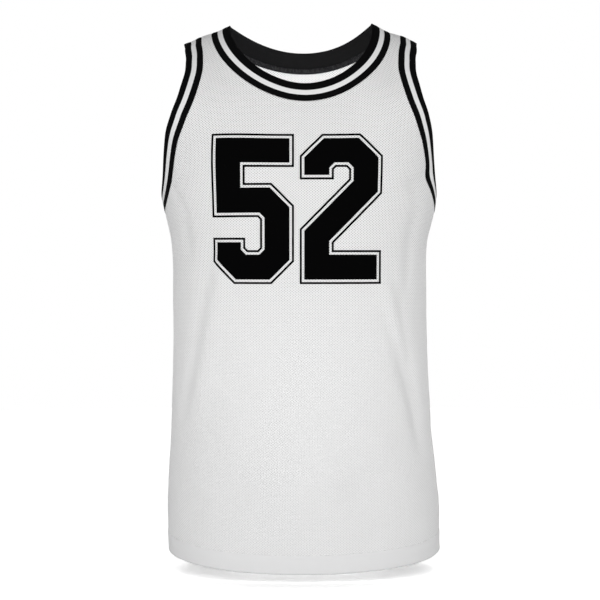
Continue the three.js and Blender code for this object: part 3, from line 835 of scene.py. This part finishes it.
def band(name, rows, turn, over):
    """A closed loop of doubled cloth: its section runs over the outer face, round the
    fold and back over the inner face, each face a little full between its two edges."""
    rows = np.concatenate([stepped(rows[0], -over, turn)[None], rows[1:]])
    share = evenly(len(rows) - 1)
    puff = np.sqrt(np.clip(1 - (2 * share - 1) ** 8, 0, 1))
    stripes = STRIPE_PUFF * np.abs(np.sin(3 * math.pi * share)) ** 0.6
    roll = EDGE_ROLL * np.clip(1 - share * BAND_WIDTH / EDGE_RUN, 0, 1) ** 2
    outer_lift = BAND_PROUD + stripes - BAND_ROLL * (1 - puff) * (share > 0.5) - roll
    inner_lift = BAND_PROUD - BAND_CLOTH + BAND_ROLL * (1 - puff) * (share > 0.5) - roll
    outer = lifted(rows, outer_lift[:, None])
    inner = lifted(rows, inner_lift[:, None])
    angles = np.linspace(0, math.pi, 7)[1:-1]
    radius = BAND_CLOTH / 2
    middle = BAND_PROUD - radius - EDGE_ROLL
    fold = [
        lifted(stepped(rows[0], -radius * math.sin(a), turn), middle + radius * math.cos(a))
        for a in angles
    ]
    loop = np.concatenate([outer[::-1], np.stack(fold), inner])
    beyond = np.full(len(fold) + len(inner), -1.0)
    distance = np.concatenate([share[::-1] * BAND_WIDTH, beyond])
    turning = np.linspace(0.2, 1, len(fold))
    inside = np.concatenate([np.zeros(len(outer)), turning, np.ones(len(inner))])
    points = loop.reshape(-1, 3)
    wide = rows.shape[1]
    faces = grid_faces(wrapped(numbered(loop), 0, 1))
    if turn < 0:
        faces = faces[:, ::-1]
    steps = np.linalg.norm(np.roll(outer[8], -1, 0) - outer[8], axis=1)
    along = np.concatenate([[0], np.cumsum(steps)[:-1]])
    values = {
        "from_edge": np.repeat(distance, wide) * MM,
        "along": np.tile(along, len(loop)) * MM,
        "inside": np.repeat(inside, wide),
    }
    return mesh_piece(name, points, faces, None, values)


def own_place(tree):
    """A point's place in its object's own axes, in metres."""
    return new_node(tree, "TexCoord", {}).outputs["Object"]


def striped_rib():
    """Rib knit: fine ribs across the band, a white stripe between two black ones on the
    outer face and plain black inside."""
    material, tree, shader = new_material("striped_rib_cloth", 0.9, shine=0.03)
    from_edge, along, inside = (value_of(tree, name) for name in ("from_edge", "along", "inside"))
    fuzz = noise(tree, own_place(tree), RIB_FUZZ)
    wobble = maths(tree, "MULTIPLY", maths(tree, "SUBTRACT", fuzz, 0.5), 0.0006)
    place = maths(tree, "ADD", from_edge, wobble)
    lower = ranged(tree, place, STRIPE_LOW - STRIPE_BLUR, STRIPE_LOW + STRIPE_BLUR)
    upper = ranged(tree, place, STRIPE_HIGH - STRIPE_BLUR, STRIPE_HIGH + STRIPE_BLUR, 1.0, 0.0)
    white = maths(tree, "MULTIPLY", lower, upper)
    rib = maths(tree, "SINE", maths(tree, "MULTIPLY", along, 2 * math.pi / RIB_PITCH))
    black = blended(tree, inside, RIB_BLACK, RIB_INSIDE)
    colour = blended(tree, white, black, RIB_WHITE)
    tree.links.new(colour, shader.inputs["Base Color"])
    ribs = maths(tree, "MULTIPLY", rib, 0.35)
    height = maths(tree, "ADD", ribs, maths(tree, "MULTIPLY", fuzz, 0.4))
    bumped(tree, shader, height, 0.0003, 0.8)
    return material


striped_rib_cloth = striped_rib()
neckband = band("neck_band", neck_rows, 1, NECK_OVER)
neckband.data.materials.append(striped_rib_cloth)
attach(neckband, "root")
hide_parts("neckband")


def loop_length(row):
    """Length in metres of a closed row of places: the sum of its steps."""
    return float(lengths_along(np.concatenate([row, row[:1]]))[-1]) * MM


loop_length(neck_rows[-1])


# Armbands
# The same doubled rib round each armhole, from the shoulder down under the arm and back.
ARM_OVER = 0.3  # the right band's edge stands beyond its line by this, the left one's short of it

for side, rows, node in zip((-1, 1), arm_rows, ("armband_left", "armband_right")):
    armband = band(node + "_rib", rows, side, ARM_OVER * side)
    armband.data.materials.append(striped_rib_cloth)
    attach(armband, "root")
    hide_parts(node)
    loop_length(rows[-1])


# Overlocked seams
# Inside, the raw edges of each seam are trimmed to a narrow strip and bound by an overlock
# machine, whose loops of thread lie across it: black thread round the neck and the
# armholes, white thread down the sides.
SEAM_WIDTH = 8.4
SEAM_CELLS = 8
SEAM_ON_BAND = 4.6  # part of the strip that lies behind the band
SEAM_ROOT = 1.0  # how far inside the cloth's outer face the strip begins
SEAM_FACE = 2.1  # how far inside it the strip's free face lies
SEAM_FULLNESS = 0.9
THREAD_STEP = 2.3
THREAD_RISE = 0.4
THREAD_SLANT = 0.35  # steps by which a thread runs on from the strip's middle to its edge
THREAD_FUZZ = 420.0
# Thread colours: the first of each pair is painted shade between the threads, the second the lighter
# colour on their crests.
THREAD_BLACK, THREAD_BLACK_LIT = (0.006, 0.006, 0.007, 1), (0.036, 0.036, 0.037, 1)
THREAD_WHITE, THREAD_SHADE = (0.9, 0.9, 0.9, 1), (0.55, 0.55, 0.55, 1)


def outward(points, faces):
    """The faces of a closed skin, turned round if its volume comes out negative."""
    corners = points[faces]
    first, second = corners[:, 2] - corners[:, 0], corners[:, 3] - corners[:, 1]
    volume = (np.cross(first, second) * corners.mean(1)).sum()
    return faces if volume > 0 else faces[:, ::-1]


def seam_strip(name, rows, closed):
    """A strip inside the cloth over rows of places across it: its free face is a flat
    arch with a wave of threads, the absolute sine of the place along it."""
    along = lengths_along(rows[0])[None]
    share = np.linspace(-1, 1, len(rows))[:, None]
    arch = (1 - share**4) * SEAM_FULLNESS
    threads = THREAD_RISE * np.abs(np.sin(math.pi * (along / THREAD_STEP + THREAD_SLANT * share)))
    free = lifted(rows, -(SEAM_FACE + arch + threads))
    hidden = lifted(rows, -SEAM_ROOT)
    section = np.concatenate([free, hidden[::-1]])
    grid = numbered(section)
    if closed:
        faces = grid_faces(wrapped(grid, 0, 1))
    else:
        ends = []
        for column, turn in ((0, 1), (-1, -1)):
            free_row, hidden_row = grid[: len(rows), column], grid[len(rows) :, column][::-1]
            ends.append(grid_faces(np.stack([free_row, hidden_row], 1))[:, ::turn])
        faces = np.concatenate([grid_faces(wrapped(grid, 0)), *ends])
    points = section.reshape(-1, 3)
    faces = outward(points, faces)
    rise = np.concatenate([threads / THREAD_RISE * (1 - share**4), 0 * threads]).ravel()
    return mesh_piece(name, points, faces, None, {"thread": rise})


def thread_cloth(name, low, high):
    """Matt thread with a fine fuzz, with painted shade between the threads and the lighter colour on
    them.
    """
    material, tree, shader = new_material(name, 0.9, shine=0.1)
    fuzz = noise(tree, own_place(tree), THREAD_FUZZ, 4.0)
    fuzz_tone = ranged(tree, fuzz, 0.4, 0.62, 0.2, 1.2)
    # painted shade: towards the lighter colour on the threads' crests, darker between them and on the
    # hidden face
    crest_light_and_fuzz = maths(tree, "MULTIPLY", value_of(tree, "thread"), fuzz_tone)
    tree.links.new(blended(tree, crest_light_and_fuzz, low, high), shader.inputs["Base Color"])
    bumped(tree, shader, fuzz, 0.0003, 0.8)
    return material


def finer(row, front_cells, step):
    """A closed row of places with more points: its front part and its part behind are
    each spaced anew, a step apart."""
    cells = round(loop_length(row) / MM / step / 2)
    front_part = edge_on(0, row, 0, front_cells, evenly(cells))
    back_part = edge_on(math.pi, row, front_cells, len(row) - front_cells, evenly(cells))
    return np.concatenate([front_part[:-1], back_part[:-1]])


def strip_rows(seam, turn, start, width):
    """Rows of places across a strip along a seam, from its start over its width."""
    rows = [stepped(seam, start, turn)]
    for _ in range(SEAM_CELLS):
        rows.append(stepped(rows[-1], width / SEAM_CELLS, turn))
    return np.stack(rows)


black_thread = thread_cloth("black_overlock_thread", THREAD_BLACK, THREAD_BLACK_LIT)
for name, seam, front_cells, turn in (
    ("neck_seam", neck_rows[-1], NECK_CELLS, 1),
    ("armhole_seam_left", arm_rows[0][-1], ARMHOLE_CELLS, -1),
    ("armhole_seam_right", arm_rows[1][-1], ARMHOLE_CELLS, 1),
):
    seam = finer(seam, front_cells, THREAD_STEP / 4)
    strip = seam_strip(name, strip_rows(seam, turn, -SEAM_ON_BAND, SEAM_WIDTH), True)
    strip.data.materials.append(black_thread)
    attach(strip, "root")

white_thread = thread_cloth("white_thread", THREAD_SHADE, THREAD_WHITE)
offsets = np.linspace(-SEAM_WIDTH / 2, SEAM_WIDTH / 2, SEAM_CELLS + 1)
for side, label in ((-1, "left"), (1, "right")):
    h = np.arange(HEM_SIDE_Z + HEM_HEIGHT + 2, ARMHOLE_BOTTOM_Z - BAND_WIDTH - 4, 0.8)
    turn = side * QUARTER + offsets[:, None] / GIRTH_RADIUS
    rows = np.stack(np.broadcast_arrays(turn, h[None]), -1)
    strip = seam_strip("side_seam_" + label, rows, False)
    strip.data.materials.append(white_thread)
    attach(strip, "root")


# Hem stitching
# One row of lockstitch in white thread holds the turned-up hem, 25 mm above its edge. Each
# stitch is a short swelling of thread that dips into the cloth at both ends.
STITCH_STEP = 3.3
STITCH_LENGTH = 2.7
STITCH_RADIUS = 0.34
STITCH_BED = -0.05  # the thread's middle, from the cloth's outer face


def stitches(name, path):
    """Threads in a row along a path of places: each is a tube of six sides whose radius
    falls by the root of 1 - share ^ 2 towards both ends."""
    length = lengths_along(path)[-1]
    count = int(length / STITCH_STEP)
    middles = (np.arange(count) + 0.5) * STITCH_STEP
    share = np.linspace(-0.97, 0.97, 7)
    along = (middles[:, None] + share * STITCH_LENGTH / 2) / length
    places = spaced(path, along.ravel()).reshape(count, len(share), 1, 2)
    radius = (STITCH_RADIUS * np.sqrt(1 - share**2))[:, None]
    turn = np.linspace(0, 2 * math.pi, 7)[:-1]
    height = np.broadcast_to(radius * np.cos(turn), (count, len(share), 6))
    lift = np.broadcast_to(STITCH_BED + radius * np.sin(turn), height.shape)
    places = np.stack(np.broadcast_arrays(places[..., 0], places[..., 1] + height), -1)
    points = lifted(places, lift)
    grid = numbered(points[0])
    tube = grid_faces(wrapped(grid, 1))
    first, last = grid[0], grid[-1]
    caps = [first[[0, 1, 2, 3]], first[[3, 4, 5, 0]], last[[3, 2, 1, 0]], last[[0, 5, 4, 3]]]
    one = outward(points[0].reshape(-1, 3), np.concatenate([tube, caps]))
    faces = (one[None] + np.arange(count)[:, None, None] * grid.size).reshape(-1, 4)
    points = points.reshape(-1, 3)
    return mesh_piece(name, points, faces, None, {"thread": np.ones(len(points))})


stitch_row = list(HEM_LEVELS).index(HEM_HEIGHT)
for name, places in (("hem_stitches_front", front_places), ("hem_stitches_back", back_places)):
    thread = stitches(name, places[0][stitch_row])
    thread.data.materials.append(white_thread)
    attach(thread, "root")


# Number
# A plain block number in black film, pressed on the chest and ringed by a thin line with
# bare cloth between, as the trim has it. The film follows the cloth and its folds.
DIGIT_WIDTH = 95
DIGIT_HEIGHT = 182
DIGIT_GAP = 19
NUMBER_X = -4  # middle of the number round the body
NUMBER_BASE = -349
STROKE = 32
RING_GAP = 3.2
RING_WIDTH = 2.6
FILM_UNDER, FILM_TOP = 0.12, 0.42
FILM_CELL = 4
CORNER = STROKE / 2  # how much of a cut corner the stroke's middle leaves out
HOOK = 16  # how far the open end of a digit's bowl runs on past its corner
SLANT_FOOT, SLANT_TOP = 40, 30  # how far from the corners' heights the slanted stroke ends
STROKE_CELLS = 9
PLACING_ROUNDS, PLACING_SHARE = 14, 0.75

left, right = STROKE / 2, DIGIT_WIDTH - STROKE / 2
low, high, waist = STROKE / 2, DIGIT_HEIGHT - STROKE / 2, 102
FIVE = np.array([
    (DIGIT_WIDTH, high), (left, high), (left, waist), (right - CORNER, waist),
    (right, waist - CORNER), (right, low + CORNER), (right - CORNER, low), (left + CORNER, low),
    (left, low + CORNER), (left, low + CORNER + HOOK),
])
TWO = np.array([
    (left, high - CORNER - HOOK), (left, high - CORNER), (left + CORNER, high),
    (right - CORNER, high), (right, high - CORNER), (right, high - CORNER - SLANT_TOP),
    (left, low + SLANT_FOOT), (left, low), (DIGIT_WIDTH, low),
])


def offset_path(path, distance, further):
    """A path moved to its left by a distance with mitred corners, its ends drawn out."""
    steps = np.diff(path, axis=0)
    steps /= np.linalg.norm(steps, axis=1, keepdims=True)
    ends = path.copy()
    ends[0] -= steps[0] * further
    ends[-1] += steps[-1] * further
    sides = np.stack([-steps[:, 1], steps[:, 0]], 1)
    before, after = np.concatenate([sides[:1], sides]), np.concatenate([sides, sides[-1:]])
    both = before + after
    return ends + both * distance * 2 / (both**2).sum(1, keepdims=True)


def in_cells(one, other, across_cells):
    """Rows across a ribbon between two lines of as many points, a cell apart."""
    lines = np.stack([one, other], 1)
    rows = [lines[:1]]
    for start, end in zip(lines[:-1], lines[1:]):
        longer = np.linalg.norm(end - start, axis=-1).max()
        shares = evenly(max(1, math.ceil(longer / FILM_CELL)))[1:, None, None]
        rows.append(mix(start, end, shares))
    ends = np.concatenate(rows)
    return mix(ends[:, :1], ends[:, 1:], evenly(across_cells)[None, :, None])


def placed(table, flat):
    """Angle and h of points of the flat cloth, by repeated correction of a first guess."""
    angle, h = flat[..., 0] / GIRTH_RADIUS, flat[..., 1].copy()
    for _ in range(PLACING_ROUNDS):
        off = flat - read_table(table, angle, h)
        angle, h = angle + off[..., 0] / GIRTH_RADIUS, h + PLACING_SHARE * off[..., 1]
    return np.stack([angle, h], -1)


def film(name, ribbons):
    """A closed thin skin over ribbons of flat points; a ribbon whose ends meet is a ring."""
    all_points, all_faces, start = [], [], 0
    for flat in ribbons:
        ringed = np.allclose(flat[0], flat[-1])
        flat = flat[:-1] if ringed else flat
        places = placed(front_table, flat)
        skin = np.concatenate([lifted(places, FILM_TOP), lifted(places, FILM_UNDER)[:, ::-1]], 1)
        grid = numbered(skin)
        if ringed:
            faces = grid_faces(wrapped(grid, 1, 0))
        else:
            half = grid.shape[1] // 2
            ends = [grid_faces(np.stack([row[:half], row[half:][::-1]]))[:, ::turn]
                    for row, turn in ((grid[0], 1), (grid[-1], -1))]
            faces = np.concatenate([grid_faces(wrapped(grid, 1)), *ends])
        points = skin.reshape(-1, 3)
        all_points.append(points)
        all_faces.append(outward(points - points.mean(0), faces) + start)
        start += len(points)
    return mesh_piece(name, np.concatenate(all_points), np.concatenate(all_faces))


def black_film():
    """Soft black print that lets a little of the knit's grain through."""
    material, tree, shader = new_material("black_print_film", 0.62, shine=0.0)
    shader.inputs["Base Color"].default_value = (0.002, 0.002, 0.0021, 1)
    bumped(tree, shader, noise(tree, own_place(tree), 1500.0), 0.0002, 0.5)
    return material


black_print_film = black_film()
number_width = 2 * DIGIT_WIDTH + DIGIT_GAP
for name, path, start in (("digit_five", FIVE, 0), ("digit_two", TWO, DIGIT_WIDTH + DIGIT_GAP)):
    path = path + (NUMBER_X - number_width / 2 + start, NUMBER_BASE)
    body = in_cells(offset_path(path, STROKE / 2, 0), offset_path(path, -STROKE / 2, 0), STROKE_CELLS)
    loops = []
    for further in (RING_GAP, RING_GAP + RING_WIDTH):
        reach = STROKE / 2 + further
        there, back_again = offset_path(path, reach, further), offset_path(path, -reach, further)
        loop = np.concatenate([there, back_again[::-1]])
        loops.append(np.concatenate([loop, loop[:1]]))
    digit = film(name, [body, in_cells(*loops, 1)])
    digit.data.materials.append(black_print_film)
    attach(digit, "root")


# Floor, light and camera
# A plain pale floor just under the hem, whose glow for the camera is dimmed near the hem into a
# painted shadow, a soft dome of light, one large soft light in front, two weak ones behind and a
# small one inside. The camera looks level at the middle of the front, from 2 m.
CAMERA_Z = -0.375
CAMERA_DISTANCE = 2.0
SCALE = 0.7353  # pixels of the picture for each millimetre at that distance
PICTURE = 600
SENSOR = 36.0
FLOOR_Z = -0.74
FLOOR_RADIUS = 3.0
FLOOR_GLOW = 0.76  # lifts the floor to paper white for the camera, and lights nothing
FLOOR_SHADOW = 0.12  # what is left of that under the hem, as a painted shadow
SHADOW_REACH = 0.13

turns = 2 * math.pi * evenly(96)[:-1]
edge = np.column_stack([np.cos(turns), np.sin(turns), 0 * turns]) * FLOOR_RADIUS + (0, 0, FLOOR_Z)
floor = mesh_piece("floor", edge / MM, np.arange(len(edge))[None])
floor_material, floor_tree, floor_shader = new_material("pale_floor", 0.9)
floor_shader.inputs["Base Color"].default_value = (0.9, 0.9, 0.9, 1)
floor_shader.inputs["Emission Color"].default_value = (1, 1, 1, 1)
seen_floor = new_node(floor_tree, "LightPath", {}).outputs["Is Camera Ray"]
# painted shadow: the floor's glow for the camera is dimmed by ambient occlusion near the hem
openness = new_node(floor_tree, "AmbientOcclusion", {"Distance": SHADOW_REACH})
openness.samples = 8
painted_floor_shadow = ranged(floor_tree, openness.outputs["AO"], 0.35, 0.97, FLOOR_SHADOW, FLOOR_GLOW)
floor_glow = maths(floor_tree, "MULTIPLY", seen_floor, painted_floor_shadow)
floor_tree.links.new(floor_glow, floor_shader.inputs["Emission Strength"])
floor.data.materials.append(floor_material)


def area_light(name, place, target, size, power):
    """A rectangular light at a place, turned to face its target."""
    data = bpy.data.lights.new(name, "AREA")
    data.shape = "RECTANGLE"
    data.size, data.size_y = size
    data.energy = power
    light = bpy.data.objects.new(name, data)
    light.location = place
    direction = np.subtract(target, place)
    yaw = math.atan2(direction[0], direction[1])
    pitch = math.atan2(direction[2], math.hypot(direction[0], direction[1]))
    light.rotation_euler = (QUARTER + pitch, 0, -yaw)
    bpy.context.scene.collection.objects.link(light)


area_light("front_softbox", (-0.02, -2.2, 0), (0, 0, -0.4), (1.6, 1.1), 22)
area_light("left_softbox", (-1.6, 1.6, -0.1), (0, 0, -0.4), (1.2, 1.2), 4)
area_light("right_softbox", (1.6, 1.6, -0.1), (0, 0, -0.4), (1.2, 1.2), 6)
area_light("inside_fill", (0, -0.03, -0.4), (0, 0.1, -0.1), (0.12, 0.12), 0.72)

# strength of the dome of light below, level and above
DOME_BOTTOM, DOME_SIDE, DOME_TOP = 0.3, 1.02, 0.05

world = bpy.context.scene.world or bpy.data.worlds.new("studio")
bpy.context.scene.world = world
world.use_nodes = True
tree = world.node_tree
dome = tree.nodes["Background"]
dome.inputs["Color"].default_value = (1, 1, 1, 1)
direction = new_node(tree, "TexCoord", {}).outputs["Generated"]
rise = new_node(tree, "SeparateXYZ", {0: direction}).outputs[2]
above = ranged(tree, rise, 0.0, 1.0, DOME_SIDE, DOME_TOP)
below = ranged(tree, rise, -0.5, 0.0, DOME_SIDE - DOME_BOTTOM, 0.0)
tree.links.new(maths(tree, "SUBTRACT", above, below), dome.inputs["Strength"])
seen = new_node(tree, "Background", {"Color": (1, 1, 1, 1), "Strength": 1.0})
path = new_node(tree, "LightPath", {}).outputs["Is Camera Ray"]
choice = new_node(tree, "MixShader", {0: path, 1: dome.outputs[0], 2: seen.outputs[0]})
tree.links.new(choice.outputs[0], tree.nodes["World Output"].inputs["Surface"])

camera_data = bpy.data.cameras.new("camera")
camera_data.sensor_width = SENSOR
camera_data.lens = SCALE * CAMERA_DISTANCE / MM / PICTURE * SENSOR
camera_data.dof.use_dof = False
camera = bpy.data.objects.new("camera", camera_data)
camera.location = (0, -CAMERA_DISTANCE, CAMERA_Z)
camera.rotation_euler = (QUARTER, 0, 0)
bpy.context.scene.collection.objects.link(camera)
bpy.context.scene.camera = camera
bpy.context.scene.view_settings.view_transform = "Standard"
